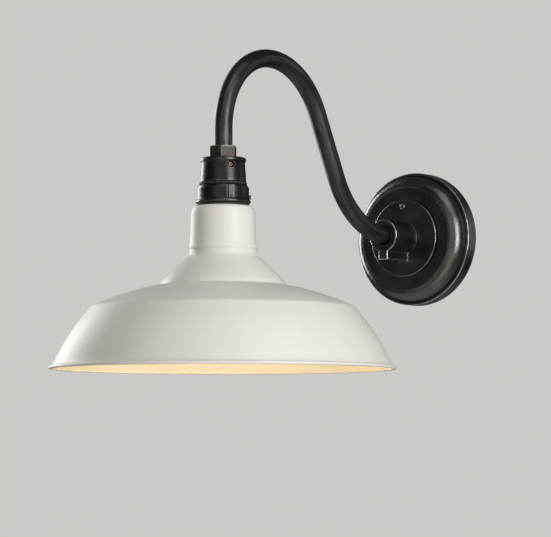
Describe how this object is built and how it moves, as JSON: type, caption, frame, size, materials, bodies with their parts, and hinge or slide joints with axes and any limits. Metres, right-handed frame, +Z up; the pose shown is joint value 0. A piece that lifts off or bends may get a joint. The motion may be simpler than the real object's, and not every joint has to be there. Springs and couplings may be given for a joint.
{
  "type": "outdoor wall lantern",
  "caption": "Gooseneck wall lantern: round wall plate with cast hub, arched tube arm, socket cap, locking collar and spun metal shade with a lamp inside.",
  "frame": {"origin": "centre of the wall plate on the wall plane", "axes": "+Z up, +Y into the wall, -Y out along the arm, +X to the right for someone facing the wall"},
  "size_m": [0.3562, 0.5425, 0.3423],
  "materials": {
    "shade_coat": "satin off-white powder coat on spun steel",
    "blackened_metal": "blackened cast metal, satin, lighter on worn edges",
    "blackened_tube": "blackened steel tube with fine lengthwise brushing",
    "nut_steel": "aged machined steel, brown-grey",
    "zinc_steel": "zinc plated steel",
    "brass": "plain brass, slightly dulled",
    "black_rubber": "moulded black rubber",
    "porcelain": "glazed white porcelain",
    "green_screw": "green dyed steel",
    "orange_plastic": "moulded plastic",
    "lead_black": "wire insulation",
    "lead_white": "wire insulation",
    "lead_green": "wire insulation",
    "nickel_cap": "nickel plated brass, thin sheet",
    "black_glass": "black vitrite glass",
    "opal_glass": "frosted warm white glass",
    "clear_glass": "clear lead glass",
    "filament_wire": "tungsten wire"
  },
  "bodies": {
    "wall_mount": {"mounting_pan": "zinc_steel", "wall_gasket": "black_rubber", "backplate": "blackened_metal", "arm_holder": "blackened_metal", "holder_washer": "zinc_steel", "holder_locknut": "zinc_steel", "holder_lock_screw": "blackened_metal", "arm_set_screw": "blackened_metal", "ring_set_screw_1": "blackened_metal", "ring_set_screw_2": "blackened_metal", "ring_set_screw_3": "blackened_metal", "box_screw_1": "zinc_steel", "box_screw_2": "zinc_steel", "ground_screw": "green_screw", "ground_lead": "lead_green", "wire_nut_black": "orange_plastic", "wire_nut_white": "orange_plastic", "lead_black_wall": "lead_black", "lead_white_wall": "lead_white"},
    "arm": {"gooseneck_tube": "blackened_tube", "hex_lock_nut": "nut_steel", "lead_black_arm": "lead_black", "lead_white_arm": "lead_white"},
    "head": {"socket_cap": "blackened_metal", "cap_set_screw": "brass", "cap_gasket": "black_rubber", "collar": "blackened_metal", "collar_lock_screw": "blackened_metal", "neck_gasket": "black_rubber", "shade": "shade_coat", "lampholder_body": "porcelain", "screw_shell": "brass", "centre_contact": "brass", "shell_rivet": "brass", "lead_black_head": "lead_black", "lead_white_head": "lead_white"},
    "bulb": {"bulb_base": "nickel_cap", "bulb_insulator": "black_glass", "bulb_eyelet": "nickel_cap", "bulb_glass": "opal_glass", "bulb_stem": "clear_glass", "bulb_filament": "filament_wire"}
  },
  "joints": [
    {"name": "arm_level", "type": "hinge", "parent": "wall_mount", "child": "arm", "pos_m": [0, -0.06, 0], "axis": [0, 1, 0], "range_deg": [-20, 20]},
    {"name": "head_turn", "type": "hinge", "parent": "arm", "child": "head", "pos_m": [0, -0.3644, 0.05], "axis": [0, 0, 1], "range_deg": [-90, 90]},
    {"name": "lamp_removal", "type": "slide", "parent": "head", "child": "bulb", "axis": [0, 0, -1], "range_m": [0, 0.18]}
  ]
}
